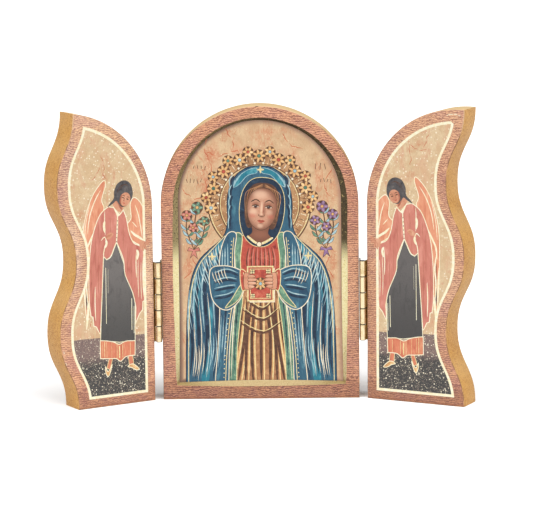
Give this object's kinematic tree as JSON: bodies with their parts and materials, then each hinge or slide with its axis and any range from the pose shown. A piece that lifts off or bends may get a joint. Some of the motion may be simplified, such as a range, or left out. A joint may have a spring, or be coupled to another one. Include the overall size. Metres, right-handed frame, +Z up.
{
  "type": "triptych altarpiece",
  "caption": "Small wooden table triptych: an arched centre board with a sunk printed picture and two wavy-edged wings that fold shut over it on brass butt hinges.",
  "frame": {"origin": "middle of the centre board's underside, on the surface it stands on", "axes": "+Z up, -Y the front that shows the pictures, +X the viewer's right"},
  "size_m": [0.2154, 0.0432, 0.15],
  "materials": {
    "veneered_board": "reddish-brown printed grain with a satin varnish over tan fibreboard, gilt bevel",
    "printed_card": "varnished colour print with metallic gold lines",
    "left_wing_board": "reddish-brown printed grain with a satin varnish over tan fibreboard, colour print on the front",
    "right_wing_board": "reddish-brown printed grain with a satin varnish over tan fibreboard, colour print on the front",
    "hinge_brass": "lightly dulled sheet brass"
  },
  "bodies": {
    "centre": {"centre_panel": "veneered_board", "centre_picture": "printed_card", "left_hinge_centre_leaf": "hinge_brass", "left_hinge_pin": "hinge_brass", "right_hinge_centre_leaf": "hinge_brass", "right_hinge_pin": "hinge_brass"},
    "left_wing": {"left_wing_panel": "left_wing_board", "left_hinge_wing_leaf": "hinge_brass"},
    "right_wing": {"right_wing_panel": "right_wing_board", "right_hinge_wing_leaf": "hinge_brass"}
  },
  "joints": [
    {"name": "left_wing_hinge", "type": "hinge", "parent": "centre", "child": "left_wing", "pos_m": [-0.05175, -0.0091, 0.0507], "axis": [0, 0, 1], "range_deg": [-30.9, 149.1]},
    {"name": "right_wing_hinge", "type": "hinge", "parent": "centre", "child": "right_wing", "pos_m": [0.05175, -0.0091, 0.0507], "axis": [0, 0, -1], "range_deg": [-26.6, 153.4]}
  ]
}
